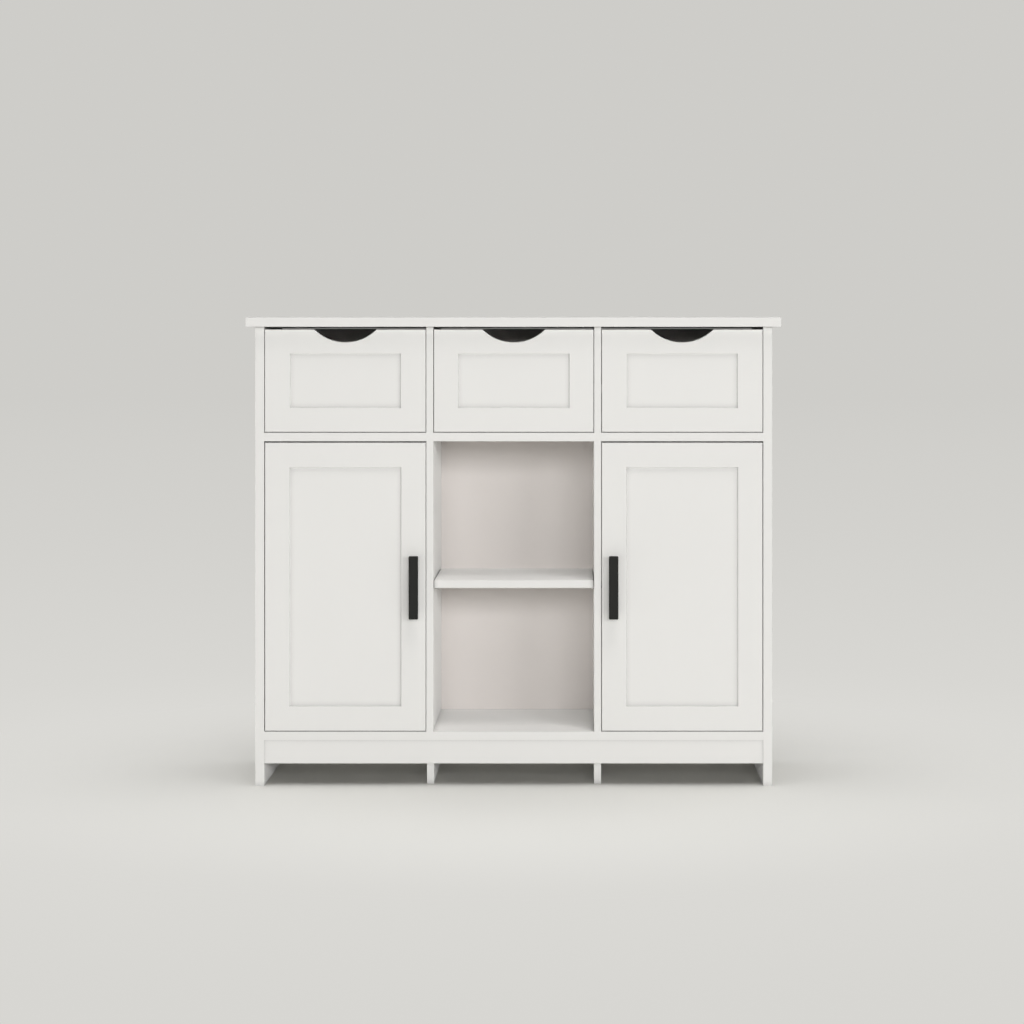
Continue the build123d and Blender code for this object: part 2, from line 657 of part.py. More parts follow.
# ---------------------------------------------------------------- drawers
def drawer_pieces(x_middle, bay_width, frame_side):
    """The boards and dowels of one drawer, by name, where the closed drawer stands."""
    half_front = bay_width / 2 - drawer_gap_side
    side_outer_face = bay_width / 2 - drawer_wall_gap
    side_inner_face = side_outer_face - drawer_side_thickness
    box_back_y = front_back_y + drawer_side_length
    box_high = drawer_box_low + drawer_side_height
    bottom_low = drawer_box_low + drawer_bottom_lift
    bottom_high = bottom_low + drawer_bottom_thickness
    groove_half = side_inner_face + drawer_bottom_groove_depth
    back_front_y = box_back_y - drawer_back_inset - drawer_side_thickness
    dowel_heights = (drawer_box_low + drawer_dowel_inset, box_high - drawer_dowel_inset)
    side_middle_x = (side_outer_face + side_inner_face) / 2
    back_middle_y = back_front_y + drawer_side_thickness / 2

    with BuildPart() as bottom_groove:
        add(
            board(
                (x_middle - groove_half, x_middle + groove_half),
                (front_back_y - drawer_bottom_groove_depth, box_back_y),
                (bottom_low - drawer_bottom_clearance, bottom_high + drawer_bottom_clearance),
            )
        )

    with BuildPart() as front:
        add(
            routed_slab(
                (x_middle - half_front, x_middle + half_front),
                (drawer_low, drawer_high),
                frame_side,
                drawer_frame_bottom,
                drawer_frame_top,
            )
        )
        cut_radius = ((finger_cut_width / 2) ** 2 + finger_cut_depth**2) / (2 * finger_cut_depth)
        with BuildSketch(front_plane(x_middle, drawer_high - finger_cut_depth + cut_radius)):
            Circle(cut_radius)
        extrude(amount=-front_thickness, mode=Mode.SUBTRACT)
        add(bottom_groove.part, mode=Mode.SUBTRACT)
        for hand in (-1, 1):
            ends = [(x_middle + hand * side_middle_x, front_back_y, z) for z in dowel_heights]
            with Locations(*faced(ends, TO_BACK)):
                Hole(drawer_dowel_radius + fastener_clearance, dowel_bite)

    sides = {}
    for hand, inward in ((-1, TO_RIGHT), (1, TO_LEFT)):
        outer_face = x_middle + hand * side_outer_face
        inner_face = x_middle + hand * side_inner_face
        with BuildPart() as side:
            add(
                board(
                    sorted((outer_face, inner_face)),
                    (front_back_y, box_back_y),
                    (drawer_box_low, box_high),
                )
            )
            # Groove for the runner strip, open at the back
            with BuildSketch(Plane.XZ.offset(-front_back_y)):
                with Locations((outer_face, groove_middle)):
                    Rectangle(2 * runner_groove_depth, runner_groove_height)
            extrude(amount=-drawer_side_length, mode=Mode.SUBTRACT)
            add(bottom_groove.part, mode=Mode.SUBTRACT)
            ends = [(x_middle + hand * side_middle_x, front_back_y, z) for z in dowel_heights]
            with Locations(*faced(ends, TO_FRONT)):
                Hole(drawer_dowel_radius + fastener_clearance, dowel_reach)
            with Locations(*faced([(inner_face, back_middle_y, z) for z in dowel_heights], inward)):
                Hole(drawer_dowel_radius + fastener_clearance, drawer_dowel_side_bite)
        sides[hand] = side.part

    with BuildPart() as back:
        add(
            board(
                (x_middle - side_inner_face, x_middle + side_inner_face),
                (back_front_y, back_front_y + drawer_side_thickness),
                (bottom_high + drawer_bottom_clearance, box_high),
            )
        )
        for hand, outward in ((-1, TO_LEFT), (1, TO_RIGHT)):
            ends = [(x_middle + hand * side_inner_face, back_middle_y, z) for z in dowel_heights]
            with Locations(*faced(ends, outward)):
                Hole(drawer_dowel_radius + fastener_clearance, dowel_reach)

    bottom = board(
        (
            x_middle - groove_half + drawer_bottom_clearance,
            x_middle + groove_half - drawer_bottom_clearance,
        ),
        (front_back_y - drawer_bottom_groove_depth + drawer_bottom_clearance, box_back_y),
        (bottom_low, bottom_high),
    )

    with BuildPart() as dowels:
        for hand, outward in ((-1, TO_LEFT), (1, TO_RIGHT)):
            front_ends = [(x_middle + hand * side_middle_x, front_back_y, z) for z in dowel_heights]
            back_ends = [(x_middle + hand * side_inner_face, back_middle_y, z) for z in dowel_heights]
            add(dowel_group(front_ends, TO_FRONT, drawer_dowel_radius, dowel_bite, dowel_reach))
            add(dowel_group(back_ends, outward, drawer_dowel_radius, drawer_dowel_side_bite, dowel_reach))

    return {
        "front": front.part,
        "side_left": sides[-1],
        "side_right": sides[1],
        "back": back.part,
        "bottom": bottom,
        "dowels": dowels.part,
    }


def dowel_group(points, direction, radius, ahead, behind):
    """Dowels through the points, reaching ahead along the direction and behind it."""
    with BuildPart() as dowel:
        with BuildSketch(Plane.XY.offset(-behind + dowel_end_gap)):
            Circle(radius)
        extrude(amount=ahead + behind - 2 * dowel_end_gap)
    return copies(dowel.part, faced(points, direction))


side_bay_width = side_inner - divider_outer
left_drawer = drawer_pieces(-side_bay_middle, side_bay_width, drawer_frame_side)
centre_drawer = drawer_pieces(0, centre_bay_width, centre_drawer_frame_side)

for piece_name, piece in left_drawer.items():
    finish(piece, f"left_drawer_{piece_name}")
for piece_name, piece in centre_drawer.items():
    finish(piece, f"centre_drawer_{piece_name}")
other_side = {"side_left": "side_right", "side_right": "side_left"}
for piece_name, piece in left_drawer.items():
    mirrored(piece, f"right_drawer_{other_side.get(piece_name, piece_name)}")


# ---------------------------------------------------------------- drawer runner strips
def runner_strip(wall_x, inward, shift=0.0):
    """A strip on the wall at wall_x, with countersunk screw holes in its open face."""
    face_x = wall_x + inward[0] * runner_thickness
    screw_places = [(face_x, y, z) for x, y, z in runner_screw_points(wall_x, shift)]
    with BuildPart() as strip:
        add(
            board(
                sorted((wall_x, face_x)),
                (runner_front_y, runner_back_y),
                (groove_low + runner_slide_gap, groove_low + runner_groove_height - runner_slide_gap),
            )
        )
        with Locations(*faced(screw_places, inward)):
            CounterSinkHole(
                screw_radius + fastener_clearance,
                screw_head_radius + fastener_clearance,
                runner_thickness,
                counter_sink_angle=90,
            )
    return strip.part


with BuildPart() as drawer_runners_left:
    add(runner_strip(-side_inner, TO_RIGHT))
    add(runner_strip(-divider_outer, TO_LEFT))
finish(drawer_runners_left.part, "drawer_runners_left")
drawer_runners_right = mirrored(drawer_runners_left.part, "drawer_runners_right")

with BuildPart() as drawer_runners_centre:
    centre_runner_left = runner_strip(-divider_inner, TO_RIGHT, centre_runner_screw_shift)
    add(centre_runner_left)
    mirror(centre_runner_left, about=Plane.YZ)
finish(drawer_runners_centre.part, "drawer_runners_centre")


# ---------------------------------------------------------------- fasteners in the carcass
def both_hands(piece, label):
    """A left-hand group of fasteners and its mirror image, in one node."""
    with BuildPart() as pair:
        add(piece)
        mirror(piece, about=Plane.YZ)
    finish(pair.part, label)
    return pair.part


with BuildPart() as wood_screw:
    # Countersunk: the top of the head at the origin, the point downwards
    with BuildSketch(Plane.XZ):
        with BuildLine():
            Polyline(
                (0, 0),
                (screw_head_radius, 0),
                (screw_radius, -(screw_head_radius - screw_radius)),
                (screw_radius, -screw_length + 2 * screw_radius),
                (0, -screw_length + dowel_end_gap),
                close=True,
            )
        make_face()
    revolve(axis=Axis.Z)

with BuildPart() as screws_left_half:
    for wall_x, inward, shift in (
        (-side_inner, TO_RIGHT, 0.0),
        (-divider_outer, TO_LEFT, 0.0),
        (-divider_inner, TO_RIGHT, centre_runner_screw_shift),
    ):
        face_x = wall_x + inward[0] * runner_thickness
        heads = [(face_x, y, z) for x, y, z in runner_screw_points(wall_x, shift)]
        add(copies(wood_screw.part, faced(heads, inward)))
    plate_heads = [(plate_face_x, y, z) for x, y, z in hinge_screw_points]
    add(copies(wood_screw.part, faced(plate_heads, TO_RIGHT)))
case_screws = both_hands(screws_left_half.part, "case_screws")

cam_bolt_length = cam_setback - dowel_end_gap

with BuildPart() as cam_bolt:
    # Threaded end below the origin, shank and head above it
    with BuildSketch(Plane.XZ):
        with BuildLine():
            Polyline(
                (0, -cam_bolt_bite + dowel_end_gap),
                (cam_bolt_thread_radius, -cam_bolt_bite + dowel_end_gap),
                (cam_bolt_thread_radius, 0),
                (cam_bolt_shank_radius, 0),
                (cam_bolt_shank_radius, cam_bolt_length - cam_bolt_head_length),
                (cam_bolt_head_radius, cam_bolt_length - cam_bolt_head_length),
                (cam_bolt_head_radius, cam_bolt_length),
                (0, cam_bolt_length),
                close=True,
            )
        make_face()
    revolve(axis=Axis.Z)

with BuildPart() as cam_bolts_left_half:
    add(copies(cam_bolt.part, faced(side_cam_points, TO_RIGHT)))
    add(copies(cam_bolt.part, faced(top_cam_points, DOWN)))
cam_bolts = both_hands(cam_bolts_left_half.part, "cam_bolts")


def cam_disc(bolt_height):
    """A cam, its open face at the origin and its bolt coming in along -X below it."""
    with BuildPart() as disc:
        with BuildSketch():
            Circle(cam_radius)
        extrude(amount=-cam_depth)
        with BuildSketch(Plane.YZ.offset(-cam_radius)):
            with Locations((0, -bolt_height)):
                Circle(cam_channel / 2)
        extrude(amount=cam_radius, mode=Mode.SUBTRACT)
    return disc.part


board_cam = cam_disc(board_thickness / 2)
panel_cam = cam_disc(side_thickness / 2)
cam_x = -side_inner + cam_setback
board_cam_places = [
    Plane(origin=(cam_x, y, low), x_dir=TO_RIGHT, z_dir=DOWN)
    for low, high in board_levels
    for y in cam_places_y
]
panel_cam_places = [
    Plane(origin=(-side_inner, y, panel_top - cam_setback), x_dir=DOWN, z_dir=TO_RIGHT)
    for y in cam_places_y
]

with BuildPart() as cam_discs_left_half:
    add(copies(board_cam, board_cam_places))
    add(copies(panel_cam, panel_cam_places))
cam_discs = both_hands(cam_discs_left_half.part, "cam_discs")

mid_dowel_points = [(x, y, mid_underside) for x, y, z in divider_mid_points]
low_dowel_points = [(x, y, bottom_underside) for x, y, z in divider_low_points]
through_board = board_thickness + divider_dowel_bite

with BuildPart() as dowels_left_half:
    add(dowel_group(side_dowel_points, TO_LEFT, dowel_radius, dowel_bite, dowel_reach))
    add(dowel_group(apron_dowel_points, TO_LEFT, dowel_radius, dowel_bite, dowel_reach))
    add(dowel_group(top_dowel_points, UP, dowel_radius, dowel_bite, dowel_reach))
    add(dowel_group(divider_top_points, UP, divider_dowel_radius, dowel_bite, dowel_reach))
    add(dowel_group(mid_dowel_points, UP, divider_dowel_radius, through_board, divider_dowel_bite))
    add(dowel_group(low_dowel_points, UP, divider_dowel_radius, through_board, divider_dowel_bite))
case_dowels = both_hands(dowels_left_half.part, "case_dowels")

with BuildPart() as shelf_pin:
    with BuildSketch(Plane.XY.offset(-shelf_pin_depth)):
        Circle(shelf_pin_radius)
    extrude(amount=shelf_pin_depth + shelf_pin_reach)

with BuildPart() as shelf_pins_left_half:
    add(copies(shelf_pin.part, faced(shelf_pin_points(-side_inner, side_shelf_setback), TO_RIGHT)))
    add(copies(shelf_pin.part, faced(shelf_pin_points(-divider_outer, side_shelf_setback), TO_LEFT)))
    add(copies(shelf_pin.part, faced(shelf_pin_points(-divider_inner, centre_shelf_setback), TO_RIGHT)))
shelf_pins = both_hands(shelf_pins_left_half.part, "shelf_pins")

with BuildPart() as nail:
    with BuildSketch():
        Circle(nail_head_radius)
    extrude(amount=nail_head_height)
    with BuildSketch():
        Circle(nail_radius)
    extrude(amount=-nail_length)
back_nails = copies(nail.part, faced(nail_points, TO_BACK))
finish(back_nails, "back_nails")
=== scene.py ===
"""White sideboard buffet: its finishes, eased boards, routed fronts, handles and studio.

Metres, +Z up.  The front looks along -Y and +X is to the right of someone facing it.
Boards and fittings carried over from the frame get eased edges and their own finish.
The doors, drawer fronts and handles are new surfaces: closed shells made of stacked
loops of points, each loop worked out as one array.
"""

import logging
import math
from dataclasses import dataclass, replace
from enum import Enum

import bpy
import numpy as np
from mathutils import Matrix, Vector
from numpy.typing import NDArray


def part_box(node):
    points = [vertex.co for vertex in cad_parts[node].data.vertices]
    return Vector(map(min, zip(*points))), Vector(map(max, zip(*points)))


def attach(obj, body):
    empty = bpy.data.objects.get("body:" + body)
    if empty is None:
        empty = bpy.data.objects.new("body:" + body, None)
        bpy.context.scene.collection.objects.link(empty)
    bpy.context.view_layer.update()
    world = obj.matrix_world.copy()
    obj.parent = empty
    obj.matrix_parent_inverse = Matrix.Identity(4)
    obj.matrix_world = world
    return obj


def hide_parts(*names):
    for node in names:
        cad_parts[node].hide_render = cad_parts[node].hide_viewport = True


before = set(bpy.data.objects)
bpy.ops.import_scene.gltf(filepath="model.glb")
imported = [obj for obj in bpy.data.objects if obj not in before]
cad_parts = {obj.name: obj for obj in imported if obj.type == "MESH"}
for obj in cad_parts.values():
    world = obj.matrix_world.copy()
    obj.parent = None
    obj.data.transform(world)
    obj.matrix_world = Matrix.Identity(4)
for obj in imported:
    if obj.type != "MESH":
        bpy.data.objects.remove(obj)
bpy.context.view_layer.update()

Node = bpy.types.Node
Socket = bpy.types.NodeSocket
Points = NDArray[np.float64]
Pair = tuple[float, float]
Triple = tuple[float, float, float]
Colour = Triple
SHARP_ANGLE = math.radians(50)
VECTOR, NUMBER = "NodeSocketVector", "NodeSocketFloat"
CORNER_RAYS = 6
log = logging.getLogger("sideboard")


class Slot(Enum):
    """The record's material slots."""

    LACQUER = "white_lacquer"
    BACK = "white_back"
    DRAWER = "drawer_board"
    RUNNER = "runner_plastic"
    BEECH = "beech"
    HANDLE = "black_handle"
    STEEL = "plated_steel"
    ZINC = "cast_zinc"


class Hand(Enum):
    """The side of the sideboard that a piece belongs to, as the nodes spell it."""

    LEFT = "left"
    RIGHT = "right"


class FloorLight(Enum):
    """What a lamp does to the floor, with the state of its light link if it has one."""

    SHARED = None
    ALONE = "INCLUDE"
    NONE = "EXCLUDE"


# ---------------------------------------------------------------- surfaces
class ShellMesh:
    """Closed shells that end up in one mesh, each a stack of loops of points."""

    def __init__(self) -> None:
        """Starts with no shells."""
        self.points: list[Points] = []
        self.faces: list[list[int]] = []
        self.count = 0

    def add(self, loops: Points) -> None:
        """Adds one shell and turns its faces outwards.

        Neighbouring loops are joined by quads (i, i+1 on one loop with i+1, i on the
        next), and the first and the last loop are closed by a flat face each.  The sign
        of the enclosed volume, the sum of a . (b x c) / 6 over its triangles, says
        whether the faces have to be turned.

        Args:
            loops: array of shape (loops, points, 3).
        """
        stack, around, _ = loops.shape
        index = np.arange(stack * around).reshape(stack, around)
        ahead = np.roll(index, -1, axis=1)
        quads = np.stack([index[:-1], ahead[:-1], ahead[1:], index[1:]], axis=-1).reshape(-1, 4)
        flat = loops.reshape(-1, 3)
        first, last = index[0], index[-1]
        first_fan = np.stack([np.full(around - 2, first[0]), first[2:], first[1:-1]], axis=-1)
        last_fan = np.stack([np.full(around - 2, last[0]), last[1:-1], last[2:]], axis=-1)
        triangles = np.concatenate([quads[:, [0, 1, 2]], quads[:, [0, 2, 3]], first_fan, last_fan])
        a, b, c = (flat[triangles[:, corner]] - flat.mean(axis=0) for corner in range(3))
        inside_out = np.einsum("ij,ij->", a, np.cross(b, c)) < 0
        faces = quads.tolist() + [first[::-1].tolist(), last.tolist()]
        if inside_out:
            faces = [face[::-1] for face in faces]
        self.faces += [[corner + self.count for corner in face] for face in faces]
        self.points.append(flat)
        self.count += len(flat)

    def make(self, name: str) -> bpy.types.Object:
        """Makes the object that shows the shells.

        Args:
            name: the piece's name.

        Returns:
            The new object, at the origin, with its place in its mesh.
        """
        mesh = bpy.data.meshes.new(name)
        mesh.from_pydata(np.concatenate(self.points).tolist(), [], self.faces)
        mesh.polygons.foreach_set("use_smooth", np.ones(len(mesh.polygons), dtype=bool))
        mesh.set_sharp_from_angle(angle=SHARP_ANGLE)
        mesh.update()
        piece = bpy.data.objects.new(name, mesh)
        bpy.context.scene.collection.objects.link(piece)
        return piece


def quarter_turn(steps: int) -> tuple[Points, Points]:
    """Sines and one-minus-cosines of the angles from 0 to 90 degrees in even steps."""
    angle = np.linspace(0.0, math.pi / 2, steps + 1)
    return np.sin(angle), 1.0 - np.cos(angle)


def keep_flats_flat(piece: bpy.types.Object) -> None:
    """Gives a piece normals weighted by face size, so that wide faces shade flat."""
    weighted = piece.modifiers.new("flat_faces", "WEIGHTED_NORMAL")
    weighted.keep_sharp = True
    weighted.weight = 100


# ---------------------------------------------------------------- shader helpers
class NodeBench:
    """Places and joins nodes in one node tree."""

    def __init__(self, tree: bpy.types.NodeTree) -> None:
        """Works on the tree given."""
        self.tree = tree

    def place(self, kind: str, **settings: object) -> Node:
        """Adds a node.

        Args:
            kind: the node's type name.
            settings: attributes to set on it.

        Returns:
            The new node.
        """
        node = self.tree.nodes.new(kind)
        for name, value in settings.items():
            setattr(node, name, value)
        return node

    def wire(self, source: Socket, target: Socket) -> None:
        """Joins an output to an input."""
        self.tree.links.new(source, target)

    def fill(self, node: Node, **values: object) -> None:
        """Fills a node's inputs by name, with sockets to read or with values."""
        for name, value in values.items():
            if isinstance(value, Socket):
                self.wire(value, node.inputs[name])
            else:
                node.inputs[name].default_value = value

    def maths(self, operation: str, first: Socket | float, second: Socket | float) -> Socket:
        """Adds a Math node.

        Args:
            operation: what it does, such as MULTIPLY.
            first: a socket to read, or a number.
            second: a socket to read, or a number.

        Returns:
            The node's output.
        """
        node = self.place("ShaderNodeMath", operation=operation)
        for socket, value in zip(node.inputs, (first, second)):
            if isinstance(value, Socket):
                self.wire(value, socket)
            else:
                socket.default_value = value
        return node.outputs[0]

    def effect(self, tree: bpy.types.NodeTree, **values: object) -> Socket:
        """Places an effect group and fills its inputs.

        Args:
            tree: the group.
            values: its inputs by name, as sockets to read or as values.

        Returns:
            The group's one output.
        """
        node = self.place("ShaderNodeGroup", node_tree=tree)
        self.fill(node, **values)
        return node.outputs[0]

    def noise(self, place: Socket, **values: object) -> Socket:
        """Adds a noise texture.

        Args:
            place: the coordinates to read it at.
            values: its other inputs by name, as sockets to read or as values.

        Returns:
            Its value, from 0 to 1.
        """
        node = self.place("ShaderNodeTexNoise")
        self.fill(node, Vector=place, **values)
        return node.outputs["Fac"]

    def tint(self, shader: Node, colour: Colour, tone: Socket) -> None:
        """Makes a colour times a tone the shader's base colour."""
        tinted = self.place("ShaderNodeVectorMath", operation="SCALE")
        tinted.inputs[0].default_value = colour
        self.wire(tone, tinted.inputs["Scale"])
        self.wire(tinted.outputs[0], shader.inputs["Base Color"])

    def emboss(self, shader: Node, height: Socket, relief: float) -> None:
        """Tilts the shader's normals by a height from 0 to 1 times a relief in metres."""
        bump = self.place("ShaderNodeBump")
        self.fill(bump, Strength=1.0, Distance=relief, Height=height)
        self.wire(bump.outputs["Normal"], shader.inputs["Normal"])


class SurfaceEffects:
    """Node groups for what several finishes share, each built once."""

    FINE_RATIO = 3.7
    FINE_HEIGHT = 0.33
    DUST_SCALE = 38.0

    def __init__(self) -> None:
        """Builds the groups."""
        self.tone_drift = self._tone_drift()
        self.spray_relief = self._spray_relief()
        self.long_grain = self._long_grain()
        self.settled_dust = self._settled_dust()

    @staticmethod
    def _group(name: str, inputs: dict[str, str], output: str) -> tuple[NodeBench, Node, Node]:
        """Starts a group with named sockets.

        Args:
            name: the group's name.
            inputs: socket types by input name.
            output: the name of its one output, a number.

        Returns:
            The bench for its tree, the group's input node and its output node.
        """
        tree = bpy.data.node_groups.new(name, "ShaderNodeTree")
        for socket, kind in inputs.items():
            tree.interface.new_socket(name=socket, in_out="INPUT", socket_type=kind)
        tree.interface.new_socket(name=output, in_out="OUTPUT", socket_type=NUMBER)
        bench = NodeBench(tree)
        return bench, bench.place("NodeGroupInput"), bench.place("NodeGroupOutput")

    def _tone_drift(self) -> bpy.types.NodeTree:
        """A factor near 1 that wanders slowly over the surface: 1 + Spread * (noise - 0.5)."""
        bench, given, result = self._group(
            "tone_drift", {"Vector": VECTOR, "Scale": NUMBER, "Spread": NUMBER}, "Factor"
        )
        place, scale = given.outputs["Vector"], given.outputs["Scale"]
        noise = bench.noise(place, Scale=scale, Detail=3.0, Roughness=0.55)
        centred = bench.maths("SUBTRACT", noise, 0.5)
        spread = bench.maths("MULTIPLY", centred, given.outputs["Spread"])
        bench.wire(bench.maths("ADD", spread, 1.0), result.inputs[0])
        return bench.tree

    def _spray_relief(self) -> bpy.types.NodeTree:
        """The dimpled height of a sprayed or moulded skin: broad cells plus low fine ones."""
        bench, given, result = self._group(
            "spray_relief", {"Vector": VECTOR, "Scale": NUMBER}, "Height"
        )
        place, scale = given.outputs["Vector"], given.outputs["Scale"]
        finer = bench.maths("MULTIPLY", scale, self.FINE_RATIO)
        broad = bench.noise(place, Scale=scale, Detail=1.5)
        fine = bench.noise(place, Scale=finer, Detail=0.0)
        low = bench.maths("MULTIPLY", fine, self.FINE_HEIGHT)
        bench.wire(bench.maths("ADD", broad, low), result.inputs[0])
        return bench.tree

    def _long_grain(self) -> bpy.types.NodeTree:
        """Streaks along one axis: noise on coordinates times Stretch, small along the grain."""
        bench, given, result = self._group(
            "long_grain", {"Vector": VECTOR, "Stretch": VECTOR}, "Streak"
        )
        stretched = bench.place("ShaderNodeVectorMath", operation="MULTIPLY")
        bench.wire(given.outputs["Vector"], stretched.inputs[0])
        bench.wire(given.outputs["Stretch"], stretched.inputs[1])
        streak = bench.noise(
            stretched.outputs[0], Scale=1.0, Detail=4.0, Roughness=0.62, Distortion=0.25
        )
        bench.wire(streak, result.inputs[0])
        return bench.tree

    def _settled_dust(self) -> bpy.types.NodeTree:
        """How much fine dust lies on a point: the upward part of the normal times a noise."""
        bench, given, result = self._group(
            "settled_dust", {"Vector": VECTOR, "Amount": NUMBER}, "Mask"
        )
        facing = bench.place("ShaderNodeSeparateXYZ")
        bench.wire(bench.place("ShaderNodeNewGeometry").outputs["Normal"], facing.inputs[0])
        noise = bench.noise(given.outputs["Vector"], Scale=self.DUST_SCALE, Detail=6.0)
        upward = bench.maths("MAXIMUM", facing.outputs["Z"], 0.0)
        lying = bench.maths("MULTIPLY", upward, noise)
        bench.wire(bench.maths("MULTIPLY", lying, given.outputs["Amount"]), result.inputs[0])
        return bench.tree


# ---------------------------------------------------------------- finishes
@dataclass(frozen=True)
class PaintedFinish:
    """A smooth opaque skin: lacquer, foil, moulded plastic or powder coat.

    Colours are linear.  Scales are in cells per metre and the relief is in metres.  The
    roughness drifts in cells that are finer than the tone's by polish_ratio.  Painted
    shade: ambient occlusion paints corners narrower than corner_reach darker in the base
    colour, by up to corner_shade: those within the piece if it shades_alone, and otherwise
    also those with the pieces beside it.
    """

    slot: Slot
    colour: Colour
    drift_scale: float
    drift_spread: float
    roughness: float
    roughness_spread: float
    relief_scale: float
    relief: float
    polish_ratio: float = 4.3
    dust: float = 0.0
    grain_stretch: Triple | None = None
    grain_spread: float = 0.0
    specular: float = 0.5
    matt_spread: float = 0.0
    corner_shade: float = 0.0
    corner_reach: float = 0.01
    shades_alone: bool = True

    def make(self, effects: SurfaceEffects) -> bpy.types.Material:
        """Builds the material.

        Args:
            effects: the shared node groups.

        Returns:
            The material, named after its slot.
        """
        material, bench, shader, place = new_material(self.slot)
        tone = bench.effect(
            effects.tone_drift, Vector=place, Scale=self.drift_scale, Spread=self.drift_spread
        )
        if self.grain_stretch:
            streak = bench.effect(effects.long_grain, Vector=place, Stretch=self.grain_stretch)
            centred = bench.maths("SUBTRACT", streak, 0.5)
            tone = bench.maths("ADD", tone, bench.maths("MULTIPLY", centred, self.grain_spread))
        mask = bench.effect(effects.settled_dust, Vector=place, Amount=self.dust)
        tone = bench.maths("MULTIPLY", tone, bench.maths("SUBTRACT", 1.0, mask))
        # Painted shade: ambient occlusion darkens the base colour in corners, recesses and seams.
        if self.corner_shade:
            nook = bench.place("ShaderNodeAmbientOcclusion", samples=CORNER_RAYS)
            nook.only_local = self.shades_alone
            nook.inputs["Distance"].default_value = self.corner_reach
            open_part = bench.maths("MULTIPLY", nook.outputs["AO"], self.corner_shade)
            clear = bench.maths("ADD", open_part, 1.0 - self.corner_shade)
            tone = bench.maths("MULTIPLY", tone, clear)
        bench.tint(shader, self.colour, tone)

        polish_scale = self.drift_scale * self.polish_ratio
        polish = bench.effect(
            effects.tone_drift, Vector=place, Scale=polish_scale, Spread=self.roughness_spread
        )
        duller = bench.maths("MULTIPLY", polish, self.roughness)
        bench.wire(bench.maths("ADD", duller, mask), shader.inputs["Roughness"])
        shader.inputs["Specular IOR Level"].default_value = self.specular
        shader.inputs["Diffuse Roughness"].default_value = self.matt_spread

        height = bench.effect(effects.spray_relief, Vector=place, Scale=self.relief_scale)
        bench.emboss(shader, height, self.relief)
        return material


@dataclass(frozen=True)
class MetalFinish:
    """Bare or plated metal with fine lines and a cast or drawn surface."""

    slot: Slot
    colour: Colour
    roughness: float
    line_stretch: Triple
    line_spread: float
    relief_scale: float
    relief: float
    drift_scale: float = 60.0
    drift_spread: float = 0.16
    line_tone: float = 0.4

    def make(self, effects: SurfaceEffects) -> bpy.types.Material:
        """Builds the material.

        Args:
            effects: the shared node groups.

        Returns:
            The material, named after its slot.
        """
        material, bench, shader, place = new_material(self.slot)
        shader.inputs["Metallic"].default_value = 1.0
        streak = bench.effect(effects.long_grain, Vector=place, Stretch=self.line_stretch)
        centred = bench.maths("SUBTRACT", streak, 0.5)
        lines = bench.maths("MULTIPLY", centred, self.line_spread)
        drift = bench.effect(
            effects.tone_drift, Vector=place, Scale=self.drift_scale, Spread=self.drift_spread
        )
        tone = bench.maths("ADD", drift, bench.maths("MULTIPLY", lines, self.line_tone))
        bench.tint(shader, self.colour, tone)
        duller = bench.maths("MULTIPLY", bench.maths("ADD", lines, 1.0), self.roughness)
        bench.wire(duller, shader.inputs["Roughness"])
        height = bench.effect(effects.spray_relief, Vector=place, Scale=self.relief_scale)
        bench.emboss(shader, height, self.relief)
        return material


@dataclass(frozen=True)
class WoodFinish:
    """Plain turned beech: pores and growth streaks that run along the dowels."""

    slot: Slot
    pale: Colour
    dark: Colour
    stretch: Triple
    roughness: float
    roughness_spread: float = 0.2
    relief: float = 0.0001
    dark_below: float = 0.35
    pale_above: float = 0.65

    def make(self, effects: SurfaceEffects) -> bpy.types.Material:
        """Builds the material.

        Args:
            effects: the shared node groups.

        Returns:
            The material, named after its slot.
        """
        material, bench, shader, place = new_material(self.slot)
        streak = bench.effect(effects.long_grain, Vector=place, Stretch=self.stretch)
        ramp = bench.place("ShaderNodeValToRGB")
        tones = ((self.dark_below, self.dark), (self.pale_above, self.pale))
        for stop, (share, colour) in zip(ramp.color_ramp.elements, tones):
            stop.position, stop.color = share, (*colour, 1.0)
        bench.wire(streak, ramp.inputs["Fac"])
        bench.wire(ramp.outputs["Color"], shader.inputs["Base Color"])
        spread = bench.maths("MULTIPLY", streak, self.roughness_spread)
        duller = bench.maths("ADD", spread, self.roughness - self.roughness_spread / 2)
        bench.wire(duller, shader.inputs["Roughness"])
        bench.emboss(shader, streak, self.relief)
        return material


def empty_material(name: str) -> tuple[bpy.types.Material, NodeBench]:
    """A material with an empty node tree, and the bench for that tree."""
    material = bpy.data.materials.new(name)
    material.use_nodes = True
    material.node_tree.nodes.clear()
    return material, NodeBench(material.node_tree)


def new_material(
    slot: Slot,
) -> tuple[bpy.types.Material, NodeBench, Node, Socket]:
    """Starts a material with its shader and the piece's own coordinates.

    Args:
        slot: the record's slot, which names the material.

    Returns:
        The material, its bench, its Principled shader and the Object coordinates.
    """
    material, bench = empty_material(slot.value)
    shader = bench.place("ShaderNodeBsdfPrincipled")
    output = bench.place("ShaderNodeOutputMaterial")
    bench.wire(shader.outputs["BSDF"], output.inputs["Surface"])
    place = bench.place("ShaderNodeTexCoord").outputs["Object"]
    return material, bench, shader, place
